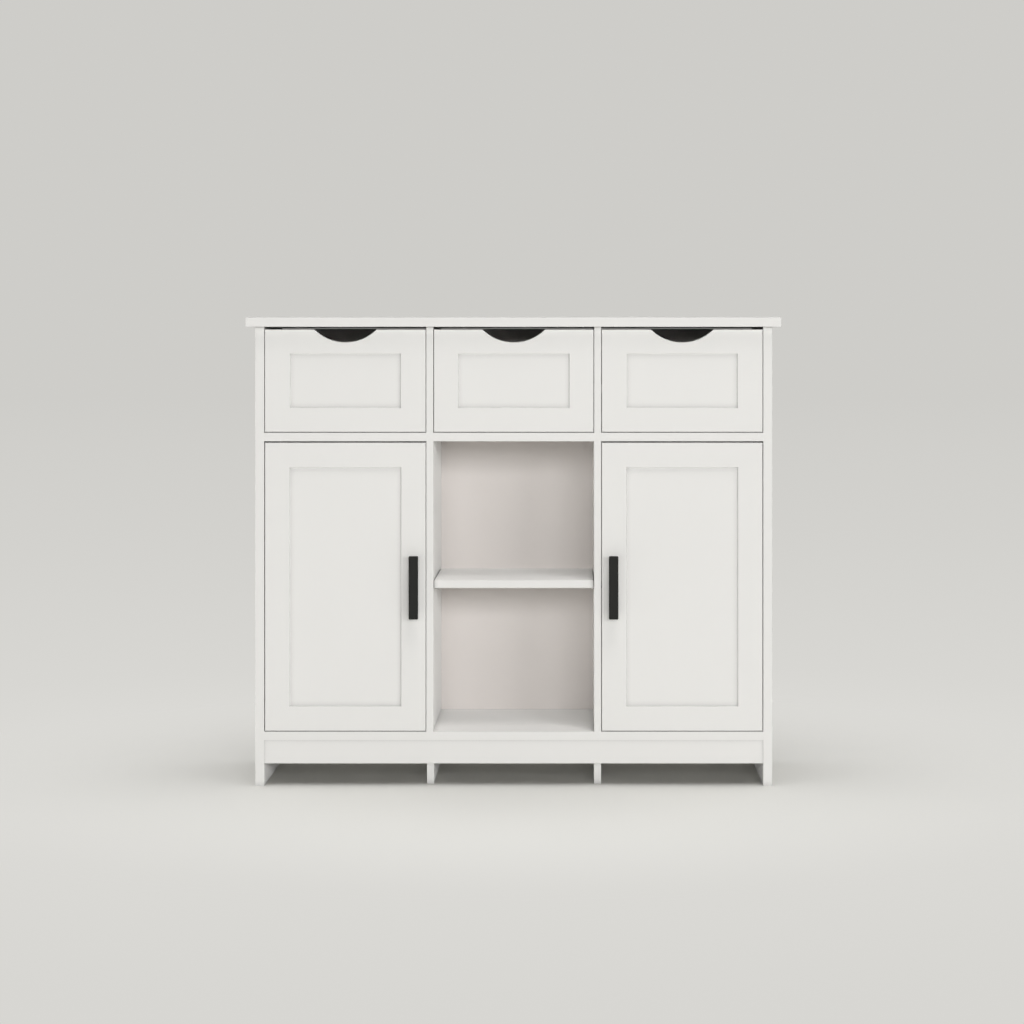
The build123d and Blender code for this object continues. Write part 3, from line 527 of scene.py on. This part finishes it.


# The lacquer's corner_shade paints shade into its corners, recesses and seams.
LACQUER = PaintedFinish(
    Slot.LACQUER, (0.946, 0.942, 0.928), drift_scale=3.0, drift_spread=0.02, roughness=0.42,
    roughness_spread=0.16, relief_scale=520.0, relief=0.00002, specular=0.2, matt_spread=0.8,
    corner_shade=0.4,
)
# Painted light: the back panel's pinkish warmth stands in for warm light bouncing round the open
# bay.
BACK_FACE = PaintedFinish(
    Slot.BACK, (0.965, 0.915, 0.885), drift_scale=5.0, drift_spread=0.045, roughness=0.58,
    roughness_spread=0.12, relief_scale=900.0, relief=0.00004,
)
DRAWER_FOIL = PaintedFinish(
    Slot.DRAWER, (0.84, 0.834, 0.805), drift_scale=6.0, drift_spread=0.03, roughness=0.5,
    roughness_spread=0.15, relief_scale=700.0, relief=0.00003, dust=0.03,
    grain_stretch=(320.0, 14.0, 420.0), grain_spread=0.05,
)
RUNNER_PLASTIC = PaintedFinish(
    Slot.RUNNER, (0.78, 0.78, 0.76), drift_scale=12.0, drift_spread=0.03, roughness=0.46,
    roughness_spread=0.1, relief_scale=1400.0, relief=0.00003,
)
POWDER_BLACK = PaintedFinish(
    Slot.HANDLE, (0.0125, 0.0125, 0.011), drift_scale=40.0, drift_spread=0.2, roughness=0.5,
    roughness_spread=0.25, relief_scale=1900.0, relief=0.00005, specular=0.18,
)
PLATED_STEEL = MetalFinish(
    Slot.STEEL, (0.62, 0.61, 0.59), roughness=0.3, line_stretch=(40.0, 40.0, 900.0),
    line_spread=0.5, relief_scale=600.0, relief=0.00001,
)
CAST_ZINC = MetalFinish(
    Slot.ZINC, (0.5, 0.5, 0.5), roughness=0.48, line_stretch=(200.0, 200.0, 200.0),
    line_spread=0.3, relief_scale=1500.0, relief=0.00005,
)
BEECH = WoodFinish(
    Slot.BEECH, pale=(0.70, 0.51, 0.32), dark=(0.55, 0.37, 0.21),
    stretch=(60.0, 500.0, 500.0), roughness=0.6,
)
FINISHES = (
    LACQUER, BACK_FACE, DRAWER_FOIL, RUNNER_PLASTIC, POWDER_BLACK, PLATED_STEEL, CAST_ZINC, BEECH,
)


class FinishRack:
    """All finishes of the sideboard, built once and handed out by slot."""

    def __init__(self) -> None:
        """Builds the shared effects and every finish."""
        effects = SurfaceEffects()
        self.materials = {finish.slot: finish.make(effects) for finish in FINISHES}
        # The fixed pieces' lacquer also paints shade into their corners with neighbouring pieces.
        self.fixed = {Slot.LACQUER: replace(LACQUER, shades_alone=False).make(effects)}

    def coat(self, piece: bpy.types.Object, slot: Slot, fixed: bool = False) -> None:
        """Gives a piece one finish, whatever it wore before.

        Args:
            piece: the object to coat.
            slot: which finish.
            fixed: whether painted shade also goes into its corners with its neighbours, as they
                never part.
        """
        finish = self.fixed[slot] if fixed else self.materials[slot]
        if not piece.material_slots:
            piece.data.materials.append(finish)
        for held in piece.material_slots:
            held.material = finish
        log.info("%-26s %s", piece.name, slot.value)


@dataclass(frozen=True)
class EasedEdge:
    """How the sharp edges of a carried-over piece are eased."""

    width: float
    segments: int = 2
    least_angle: float = math.radians(40)
    weld_distance: float = 0.00001

    def ease(self, piece: bpy.types.Object) -> None:
        """Joins the loose triangles and rounds the edges between faces.

        Args:
            piece: the object that gets the modifiers.
        """
        weld = piece.modifiers.new("joined_corners", "WELD")
        weld.merge_threshold = self.weld_distance
        bevel = piece.modifiers.new("eased_edges", "BEVEL")
        bevel.limit_method = "ANGLE"
        bevel.angle_limit = self.least_angle
        bevel.width = self.width
        bevel.segments = self.segments
        bevel.use_clamp_overlap = True
        bevel.harden_normals = True


def dress(
    names: list[str],
    slot: Slot,
    finishes: FinishRack,
    edge: EasedEdge | None = None,
    fixed: bool = False,
) -> None:
    """Coats carried-over nodes and eases their edges.

    Args:
        names: the nodes.
        slot: their finish.
        finishes: the rack of finishes.
        edge: how their edges are eased, if they are.
        fixed: whether painted shade also goes into their corners with the pieces beside them.
    """
    for name in names:
        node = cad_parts[name]
        finishes.coat(node, slot, fixed)
        if edge:
            edge.ease(node)


def both_hands(name: str) -> list[str]:
    """The left-hand and the right-hand node of a pair."""
    return [f"{name}_{hand.value}" for hand in Hand]


# ---------------------------------------------------------------- carcass
@dataclass
class Carcass:
    """Top, sides, dividers, long boards, apron, back and shelves of the case."""

    board_edge: float = 0.0006
    seam_edge: float = 0.0014
    shelf_edge: float = 0.0015
    top_edge: float = 0.0007

    def dress(self, finishes: FinishRack) -> None:
        """Coats the boards and eases their edges."""
        boards = ["mid_board"]
        for name in ("side_panel", "upper_divider", "lower_divider", "foot_board"):
            boards += both_hands(name)
        for names, width in (
            (["top_board"], self.top_edge),
            (["bottom_board", "apron"], self.seam_edge),
            (boards, self.board_edge),
            (["centre_shelf", "left_shelf", "right_shelf"], self.shelf_edge),
        ):
            dress(names, Slot.LACQUER, finishes, EasedEdge(width), fixed=True)
        dress(["back_panel"], Slot.BACK, finishes)


@dataclass
class Fittings:
    """Screws, bolts, cams, dowels, nails, shelf pins, runner strips and hinges."""

    steel_edge: float = 0.0002
    moulded_edge: float = 0.0006

    def dress(self, finishes: FinishRack) -> None:
        """Coats the fittings and eases their edges."""
        steel = EasedEdge(self.steel_edge)
        dress(["case_screws", "cam_bolts", "back_nails", "shelf_pins"], Slot.STEEL, finishes, steel)
        dress(["cam_discs"], Slot.ZINC, finishes, steel)
        dress(["case_dowels"], Slot.BEECH, finishes, steel)
        for name in ("hinge_arms", "hinge_plates", "hinge_cups", "hinge_pins", "handle_screws"):
            dress(both_hands(name), Slot.STEEL, finishes, steel)
        strips = [f"drawer_runners_{bay}" for bay in ("left", "centre", "right")]
        dress(strips, Slot.RUNNER, finishes, EasedEdge(self.moulded_edge))


# ---------------------------------------------------------------- routed fronts
NO_POINTS = np.empty((0, 2))


def rectangle(low: Pair, high: Pair, along_top: Points = NO_POINTS) -> Points:
    """A rectangle's outline from its bottom left corner, through its right-hand corners.

    Args:
        low: x and z of the bottom left corner.
        high: x and z of the top right corner.
        along_top: points between the top corners, from right to left.

    Returns:
        Array of shape (points, 2) with x and z.
    """
    rising = np.array([low, (high[0], low[1]), high])
    return np.concatenate([rising, along_top, np.array([(low[0], high[1])])])


@dataclass
class FingerCut:
    """The curved cut in a drawer front's top edge, a segment of a circle."""

    width: float = 0.117
    depth: float = 0.024
    steps: int = 40

    @property
    def radius(self) -> float:
        """Radius of the circle: (half the chord squared + depth squared) / (2 depth)."""
        half = self.width / 2
        return (half * half + self.depth * self.depth) / (2 * self.depth)

    def curve(self, middle: float, top: float, inset: float) -> Points:
        """The cut's edge, moved away from the cut by an inset, from right to left.

        With R the radius and c = top - depth + R the height of its centre, the points are
        (middle + (R + inset) sin t, c - (R + inset) cos t), for t between the angles at
        which that arc meets the line z = top - inset.

        Args:
            middle: x of the middle of the cut.
            top: z of the front's top edge.
            inset: how far the curve stands off the real edge.

        Returns:
            Array of shape (steps + 1, 2) with x and z.
        """
        radius = self.radius + inset
        centre = top - self.depth + self.radius
        limit = math.acos((centre - (top - inset)) / radius)
        turn = np.linspace(limit, -limit, self.steps + 1)
        return np.stack([middle + radius * np.sin(turn), centre - radius * np.cos(turn)], axis=-1)


@dataclass
class RoutedFront:
    """A door or drawer front: a slab with eased edges and a shallow panel routed into it."""

    node: str
    body: str
    frame_side: float
    frame_top: float
    frame_bottom: float
    finger_cut: FingerCut | None = None
    recess_depth: float = 0.005
    recess_taper: float = math.radians(14)
    face_radius: float = 0.0014
    back_radius: float = 0.0005
    lip_radius: float = 0.0004
    foot_radius: float = 0.0008
    steps: int = 4
    bore_sides: int = 64
    bore_overrun: float = 0.002

    def __post_init__(self) -> None:
        """Reads the slab's place from its node."""
        low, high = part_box(self.node)
        self.x = (low.x, high.x)
        self.z = (low.z, high.z)
        self.face_y, self.back_y = low.y, high.y

    def outline(self, inset: float) -> Points:
        """The slab's outline, moved inwards.

        It runs bottom left, bottom right, top right, along the finger cut if there is
        one, and top left, always with the same number of points.

        Args:
            inset: how far the outline is moved inwards.

        Returns:
            Array of shape (points, 2) with x and z.
        """
        low = (self.x[0] + inset, self.z[0] + inset)
        high = (self.x[1] - inset, self.z[1] - inset)
        if self.finger_cut is None:
            return rectangle(low, high)
        cut = self.finger_cut.curve((self.x[0] + self.x[1]) / 2, self.z[1], inset)
        return rectangle(low, high, cut)

    def panel_outline(self, inset: float) -> Points:
        """The routed panel's outline, moved inwards, point for point beside the slab's.

        Args:
            inset: how far the outline is moved inwards from the panel's mouth.

        Returns:
            Array of shape (points, 2) with x and z.
        """
        x_low = self.x[0] + self.frame_side + inset
        x_high = self.x[1] - self.frame_side - inset
        z_low = self.z[0] + self.frame_bottom + inset
        z_high = self.z[1] - self.frame_top - inset
        low, high = (x_low, z_low), (x_high, z_high)
        if self.finger_cut is None:
            return rectangle(low, high)
        along = (self.outline(0.0)[3:-1, 0] - self.x[0]) / (self.x[1] - self.x[0])
        top = np.stack([x_low + along * (x_high - x_low), np.full(len(along), z_high)], axis=-1)
        return rectangle(low, high, top)

    def loops(self) -> Points:
        """The slab's loops from its back, round the edge and over the face into the panel.

        A loop is an outline at one depth.  Both edges of the slab are quarter circles
        (inset r(1 - cos t), depth r(1 - sin t)).  The panel's wall leans by the taper
        between a small convex lip and a concave foot, both arcs tangent to their
        neighbours.

        Returns:
            Array of shape (loops, points, 3).
        """
        sine, fall = quarter_turn(self.steps)
        inward, across = fall[::-1], 1 - sine[::-1]
        back = zip(self.back_radius * inward, self.back_y - self.back_radius * across)
        face = zip(self.face_radius * fall, self.face_y + self.face_radius * (1 - sine))
        stack = [(self.outline(inset), y) for inset, y in (*back, *face)]
        for inset, depth in self.wall_profile():
            stack.append((self.panel_outline(inset), self.face_y + depth))
        return np.stack([np.insert(outline, 1, y, axis=1) for outline, y in stack])

    def wall_profile(self) -> Points:
        """Inset and depth of the points from the face over the lip, down the wall, to the panel.

        The wall makes the angle a = 90 degrees - taper with the face.  An arc of radius r
        that joins two lines at that angle takes t = r tan(a / 2) of each of them.

        Returns:
            Array of shape (points, 2).
        """
        lean = math.pi / 2 - self.recess_taper
        turn = np.linspace(0.0, lean, self.steps + 1)
        lip_start = -self.lip_radius * math.tan(lean / 2)
        lip = np.stack(
            [lip_start + self.lip_radius * np.sin(turn), self.lip_radius * (1 - np.cos(turn))],
            axis=-1,
        )
        run = self.recess_depth * math.tan(self.recess_taper)
        foot_end = run + self.foot_radius * math.tan(lean / 2)
        back = turn[::-1]
        foot = np.stack(
            [foot_end - self.foot_radius * np.sin(back),
             self.recess_depth - self.foot_radius * (1 - np.cos(back))],
            axis=-1,
        )
        return np.concatenate([lip, foot])

    def build(self, finishes: FinishRack, bores: Points | None = None) -> None:
        """Makes the front, bores it from the back, coats it and sets it on its body.

        Args:
            finishes: the rack of finishes.
            bores: rows of x, z, radius and depth of round bores in the back, if any.
        """
        shell = ShellMesh()
        shell.add(self.loops())
        front = shell.make(f"{self.node}_face")
        if bores is not None:
            self.bore(front, bores)
        keep_flats_flat(front)
        finishes.coat(front, Slot.LACQUER)
        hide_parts(self.node)
        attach(front, self.body)

    def bore(self, front: bpy.types.Object, bores: Points) -> None:
        """Cuts round bores into the back of the front.

        Each bore is a drum: loops (x + r cos t, y, z + r sin t) from its floor to just
        behind the slab.

        Args:
            front: the slab, whose mesh is changed.
            bores: rows of x, z, radius and depth.
        """
        turn = np.linspace(0.0, 2 * math.pi, self.bore_sides, endpoint=False)
        drums = ShellMesh()
        for x, z, radius, depth in bores:
            ring = np.stack([x + radius * np.cos(turn), z + radius * np.sin(turn)], axis=-1)
            ends = (self.back_y - depth, self.back_y + self.bore_overrun)
            drums.add(np.stack([np.insert(ring, 1, y, axis=1) for y in ends]))
        cutter = drums.make(f"{self.node}_drums")
        cut = front.modifiers.new("bores", "BOOLEAN")
        cut.operation = "DIFFERENCE"
        cut.solver = "EXACT"
        cut.object = cutter
        bpy.context.view_layer.update()
        seen = front.evaluated_get(bpy.context.evaluated_depsgraph_get())
        mesh = bpy.data.meshes.new_from_object(seen)
        front.modifiers.remove(cut)
        front.data = mesh
        mesh.set_sharp_from_angle(angle=SHARP_ANGLE)
        bpy.data.objects.remove(cutter)


@dataclass
class PullHandle:
    """A flat bar on two round posts, in powder-coated metal."""

    hand: Hand
    bar_thickness: float = 0.006
    corner_radius: float = 0.002
    edge_radius: float = 0.001
    post_radius: float = 0.005
    post_flare: float = 0.0012
    post_sink: float = 0.0008
    post_spacing: float = 0.096
    around: int = 48
    edge_steps: int = 4
    flare_steps: int = 5

    def __post_init__(self) -> None:
        """Reads the handle's place from its node."""
        self.node = f"handle_{self.hand.value}"
        self.low, self.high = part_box(self.node)

    def bar_loop(self, inset: float, y: float) -> Points:
        """The bar's outline at one depth: a rectangle with round corners, moved inwards.

        A corner is an arc of radius r - inset about the corner's centre, so that the
        outlines at all depths have the same number of points.

        Args:
            inset: how far the outline is moved inwards.
            y: its depth.

        Returns:
            Array of shape (points, 3).
        """
        per_corner = self.around // 4
        radius = self.corner_radius
        quarter = np.linspace(0.0, math.pi / 2, per_corner)
        turn = (np.arange(4)[:, None] * math.pi / 2 + quarter).ravel()
        x_sign = np.repeat((1, -1, -1, 1), per_corner)
        z_sign = np.repeat((1, 1, -1, -1), per_corner)
        middle_x, middle_z = (self.low.x + self.high.x) / 2, (self.low.z + self.high.z) / 2
        half_x, half_z = (self.high.x - self.low.x) / 2, (self.high.z - self.low.z) / 2
        x = middle_x + x_sign * (half_x - radius) + (radius - inset) * np.cos(turn)
        z = middle_z + z_sign * (half_z - radius) + (radius - inset) * np.sin(turn)
        return np.stack([x, np.full_like(x, y), z], axis=-1)

    def bar(self) -> Points:
        """The bar's loops: quarter-round front and back edges, as on the routed fronts."""
        sine, fall = quarter_turn(self.edge_steps)
        front = self.low.y
        back = front + self.bar_thickness
        insets, depths = self.edge_radius * fall, self.edge_radius * (1 - sine)
        back_edge = zip(insets[::-1], back - depths[::-1])
        front_edge = zip(insets, front + depths)
        return np.stack([self.bar_loop(inset, y) for inset, y in (*back_edge, *front_edge)])

    def post(self, z: float) -> Points:
        """A post's loops: a cylinder that flares by a quarter circle where it meets the bar.

        Args:
            z: height of the post's middle.

        Returns:
            Array of shape (loops, points, 3).
        """
        turn = np.linspace(0.0, 2 * math.pi, self.around, endpoint=False)
        sine, fall = quarter_turn(self.flare_steps)
        join = self.low.y + self.bar_thickness
        x = (self.low.x + self.high.x) / 2
        flare = self.post_radius + self.post_flare * fall[::-1]
        flare_depths = join + self.post_flare * (1 - sine[::-1])
        radii = np.concatenate([[self.post_radius + self.post_flare], flare, [self.post_radius]])
        depths = np.concatenate([[join - self.post_sink], flare_depths, [self.high.y]])
        ring = np.stack([np.cos(turn), np.zeros_like(turn), np.sin(turn)], axis=-1)
        loops = radii[:, None, None] * ring[None]
        loops[:, :, 0] += x
        loops[:, :, 1] = depths[:, None]
        loops[:, :, 2] += z
        return loops

    def build(self, finishes: FinishRack) -> None:
        """Makes the handle, coats it and sets it on its door."""
        shell = ShellMesh()
        shell.add(self.bar())
        middle = (self.low.z + self.high.z) / 2
        for shift in (-0.5, 0.5):
            shell.add(self.post(middle + shift * self.post_spacing))
        handle = shell.make(f"{self.node}_bar")
        keep_flats_flat(handle)
        finishes.coat(handle, Slot.HANDLE)
        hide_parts(self.node)
        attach(handle, f"{self.hand.value}_door")


@dataclass
class Door:
    """One door: its routed front, with bores for the hinge cups, and its handle."""

    hand: Hand
    frame_width: float = 0.0455
    cup_from_edge: float = 0.0225
    cup_from_end: float = 0.080
    cup_radius: float = 0.01755
    cup_depth: float = 0.013

    def build(self, finishes: FinishRack) -> None:
        """Makes the door and its handle."""
        front = RoutedFront(
            f"door_{self.hand.value}", f"{self.hand.value}_door",
            self.frame_width, self.frame_width, self.frame_width,
        )
        left, right = front.x
        outer, inward = (left, 1) if self.hand is Hand.LEFT else (right, -1)
        cup_x = outer + inward * self.cup_from_edge
        heights = (front.z[0] + self.cup_from_end, front.z[1] - self.cup_from_end)
        bores = np.array([(cup_x, z, self.cup_radius, self.cup_depth) for z in heights])
        front.build(finishes, bores)
        PullHandle(self.hand).build(finishes)


@dataclass
class Drawer:
    """One drawer: its routed front with a finger cut, and its box."""

    bay: str
    frame_side: float = 0.0465
    frame_top: float = 0.045
    frame_bottom: float = 0.0445
    board_edge: float = 0.0005
    dowel_edge: float = 0.0003

    def build(self, finishes: FinishRack) -> None:
        """Makes the front and dresses the box."""
        RoutedFront(
            f"{self.bay}_drawer_front", f"{self.bay}_drawer",
            self.frame_side, self.frame_top, self.frame_bottom, FingerCut(),
        ).build(finishes)
        parts = ("side_left", "side_right", "back", "bottom")
        boards = [f"{self.bay}_drawer_{part}" for part in parts]
        dress(boards, Slot.DRAWER, finishes, EasedEdge(self.board_edge))
        dowel_ends = EasedEdge(self.dowel_edge, segments=1)
        dress([f"{self.bay}_drawer_dowels"], Slot.BEECH, finishes, dowel_ends)


# ---------------------------------------------------------------- studio
# Places of a Mix node's colour sockets, whose names it repeats for other types
FIRST_COLOUR, SECOND_COLOUR, MIXED_COLOUR = 6, 7, 2
# How bright the floor looks by its distance in metres, where it fades into the air
AIR_TONES = (
    (0.6, 0.708), (1.2, 0.690), (1.9, 0.669), (3.4, 0.655),
    (7.4, 0.634), (18.0, 0.620), (45.0, 0.605),
)
AIR_TINT = (1.021, 1.009, 0.968)
AIR_FAR = tuple(AIR_TONES[-1][1] * part for part in AIR_TINT)
AIR_HALFWAY = 5.0


@dataclass
class StudioFloor:
    """A round pale floor, wide enough for its rim to meet the air behind it.

    Near the sideboard it is matt paint that takes light and shadow.  Farther out, what
    the camera and reflections see turns into the even tone of the air, in every direction.
    """

    radius: float = 60.0
    rings: int = 28
    spokes: int = 72
    colour: Colour = (0.86, 0.852, 0.815)
    bounce_colour: Colour = (0.80, 0.79, 0.755)
    near: float = 0.5
    far: float = 1.25

    def surface(self) -> tuple[Points, NDArray[np.int64]]:
        """The floor's points and quads.

        Ring k of n has the radius R (k / n)^3, and its points are (r cos t, r sin t, 0).

        Returns:
            The points, of shape (n, 3), and the quads, of shape (m, 4).
        """
        turn = np.linspace(0.0, 2 * math.pi, self.spokes, endpoint=False)
        radii = self.radius * (np.arange(1, self.rings + 1) / self.rings) ** 3
        r, t = np.meshgrid(radii, turn, indexing="ij")
        points = np.stack([r * np.cos(t), r * np.sin(t), np.zeros_like(r)], axis=-1).reshape(-1, 3)
        index = np.arange(points.shape[0]).reshape(r.shape)
        ahead = np.roll(index, -1, axis=1)
        quads = np.stack([index[:-1], index[1:], ahead[1:], ahead[:-1]], axis=-1)
        return points, quads.reshape(-1, 4)

    def build(self) -> bpy.types.Object:
        """Makes the floor.

        Returns:
            The floor.
        """
        points, quads = self.surface()
        faces = quads.tolist() + [list(range(self.spokes))]
        mesh = bpy.data.meshes.new("studio_floor")
        mesh.from_pydata(points.tolist(), [], faces)
        floor = bpy.data.objects.new("studio_floor", mesh)
        bpy.context.scene.collection.objects.link(floor)
        mesh.materials.append(self.paint())
        return floor

    def paint(self) -> bpy.types.Material:
        """Matt paint near the sideboard, and the tone of the air farther out."""
        material, bench = empty_material("floor_paint")
        seen = seen_directly(bench)
        distance = bench.place("ShaderNodeVectorMath", operation="LENGTH")
        bench.wire(bench.place("ShaderNodeTexCoord").outputs["Object"], distance.inputs[0])
        fade = bench.place("ShaderNodeMapRange", interpolation_type="SMOOTHSTEP")
        fade.inputs["From Min"].default_value = self.near
        fade.inputs["From Max"].default_value = self.far
        bench.wire(distance.outputs["Value"], fade.inputs["Value"])
        tone = bench.place("ShaderNodeMix", data_type="RGBA")
        tone.inputs[FIRST_COLOUR].default_value = (*self.bounce_colour, 1.0)
        tone.inputs[SECOND_COLOUR].default_value = (*self.colour, 1.0)
        bench.wire(seen, tone.inputs["Factor"])
        matt = bench.place("ShaderNodeBsdfDiffuse")
        bench.wire(tone.outputs[MIXED_COLOUR], matt.inputs["Color"])
        air = bench.place("ShaderNodeEmission")
        bench.wire(air_tone(bench, distance.outputs["Value"]), air.inputs["Color"])
        mixed = bench.place("ShaderNodeMixShader")
        bench.wire(bench.maths("MULTIPLY", fade.outputs["Result"], seen), mixed.inputs["Fac"])
        bench.wire(matt.outputs["BSDF"], mixed.inputs[1])
        bench.wire(air.outputs["Emission"], mixed.inputs[2])
        output = bench.place("ShaderNodeOutputMaterial")
        bench.wire(mixed.outputs["Shader"], output.inputs["Surface"])
        return material


def seen_directly(bench: NodeBench) -> Socket:
    """A value of 1 for rays from the camera, from reflections and through clear things."""
    rays = bench.place("ShaderNodeLightPath").outputs
    shiny = bench.maths("MAXIMUM", rays["Is Glossy Ray"], rays["Is Transmission Ray"])
    return bench.maths("MAXIMUM", rays["Is Camera Ray"], shiny)


def air_tone(bench: NodeBench, distance: Socket) -> Socket:
    """The floor's tone by distance, from AIR_TONES.

    The ramp follows h / (distance + h) with h = AIR_HALFWAY, which runs evenly up a level
    view of the floor: 1 at the sideboard, 1/2 at h, and 0 where the floor meets the air.

    Args:
        bench: the bench to work on.
        distance: how far the point is from the sideboard, in metres.

    Returns:
        The colour.
    """
    share = bench.maths("DIVIDE", AIR_HALFWAY, bench.maths("ADD", distance, AIR_HALFWAY))
    ramp = bench.place("ShaderNodeValToRGB")
    stops = ramp.color_ramp.elements
    stops.remove(stops[0])
    for number, (metres, grey) in enumerate(AIR_TONES):
        stop = stops[0] if number == 0 else stops.new(0.0)
        stop.position = AIR_HALFWAY / (metres + AIR_HALFWAY)
        stop.color = (*(grey * part for part in AIR_TINT), 1.0)
    bench.wire(share, ramp.inputs["Fac"])
    return ramp.outputs["Color"]


@dataclass
class Softbox:
    """A rectangular lamp that looks at a point."""

    name: str
    place: Triple
    target: Triple
    width: float
    height: float
    watts: float
    colour: Colour = (1.0, 1.0, 1.0)
    floor_light: FloorLight = FloorLight.NONE

    def build(self, floor: bpy.types.Object) -> None:
        """Makes the lamp.

        Args:
            floor: the floor, which only some lamps light.
        """
        lamp = bpy.data.lights.new(self.name, "AREA")
        lamp.shape = "RECTANGLE"
        lamp.size, lamp.size_y = self.width, self.height
        lamp.energy = self.watts
        lamp.color = self.colour
        box = bpy.data.objects.new(self.name, lamp)
        box.location = self.place
        sight = Vector(self.target) - Vector(self.place)
        box.rotation_euler = sight.to_track_quat("-Z", "Y").to_euler()
        bpy.context.scene.collection.objects.link(box)
        if self.floor_light is not FloorLight.SHARED:
            linked = bpy.data.collections.new(f"{self.name}_floor")
            linked.objects.link(floor)
            linked.collection_objects[0].light_linking.link_state = self.floor_light.value
            box.light_linking.receiver_collection = linked


@dataclass
class ViewingCamera:
    """A level camera in front of the sideboard, a little to the right of its middle."""

    place: Triple = (0.1053, -5.3745, 0.8127)
    lens: float = 97.98
    sensor: float = 36.0
    reach: float = 100.0
    shift: Pair = (-0.0566, -0.15625)

    def build(self) -> None:
        """Makes the camera and gives it to the scene."""
        lens = bpy.data.cameras.new("viewing_camera")
        lens.lens = self.lens
        lens.sensor_width = self.sensor
        lens.shift_x, lens.shift_y = self.shift
        lens.clip_end = self.reach
        camera = bpy.data.objects.new("viewing_camera", lens)
        camera.location = self.place
        camera.rotation_euler = (math.pi / 2, 0.0, 0.0)
        bpy.context.scene.collection.objects.link(camera)
        bpy.context.scene.camera = camera


MIDDLE = (0.0, 0.0, 0.5)
LAMPS = (
    Softbox(
        "front_softbox", (0.6, -9.5, 2.1), MIDDLE, width=3.6, height=1.6, watts=218.0,
        floor_light=FloorLight.SHARED,
    ),
    Softbox("right_softbox", (4.4, -8.0, 1.6), MIDDLE, width=2.4, height=1.6, watts=130.0),
    Softbox("left_softbox", (-3.4, -8.6, 1.6), MIDDLE, width=2.4, height=1.6, watts=38.0),
    Softbox(
        "high_softbox", (1.0, -2.6, 7.0), (0.0, 0.0, 0.4), width=3.0, height=3.0, watts=145.0,
        colour=(1.0, 0.965, 0.93),
    ),
    Softbox(
        "floor_softbox", (0.0, -0.8, 4.5), (0.0, -0.8, 0.0), width=9.0, height=9.0, watts=374.0,
        floor_light=FloorLight.ALONE,
    ),
)


def light_world() -> None:
    """Sets the pale air that is seen behind the floor, and that lights nothing."""
    world = bpy.data.worlds.new("studio_air")
    world.use_nodes = True
    bench = NodeBench(world.node_tree)
    air = world.node_tree.nodes["Background"]
    air.inputs["Color"].default_value = (*AIR_FAR, 1.0)
    bench.wire(seen_directly(bench), air.inputs["Strength"])
    bpy.context.scene.world = world


def main() -> None:
    """Builds the sideboard's looks, the studio and the camera."""
    logging.basicConfig(level=logging.INFO, format="%(message)s")
    ViewingCamera().build()
    finishes = FinishRack()
    Carcass().dress(finishes)
    Fittings().dress(finishes)
    for hand in Hand:
        Door(hand).build(finishes)
    for drawer in (Drawer("left"), Drawer("centre", frame_side=0.0447), Drawer("right")):
        drawer.build(finishes)
    floor = StudioFloor().build()
    for lamp in LAMPS:
        lamp.build(floor)
    light_world()
    bpy.context.scene.view_settings.view_transform = "Standard"


if __name__ == "__main__":
    main()
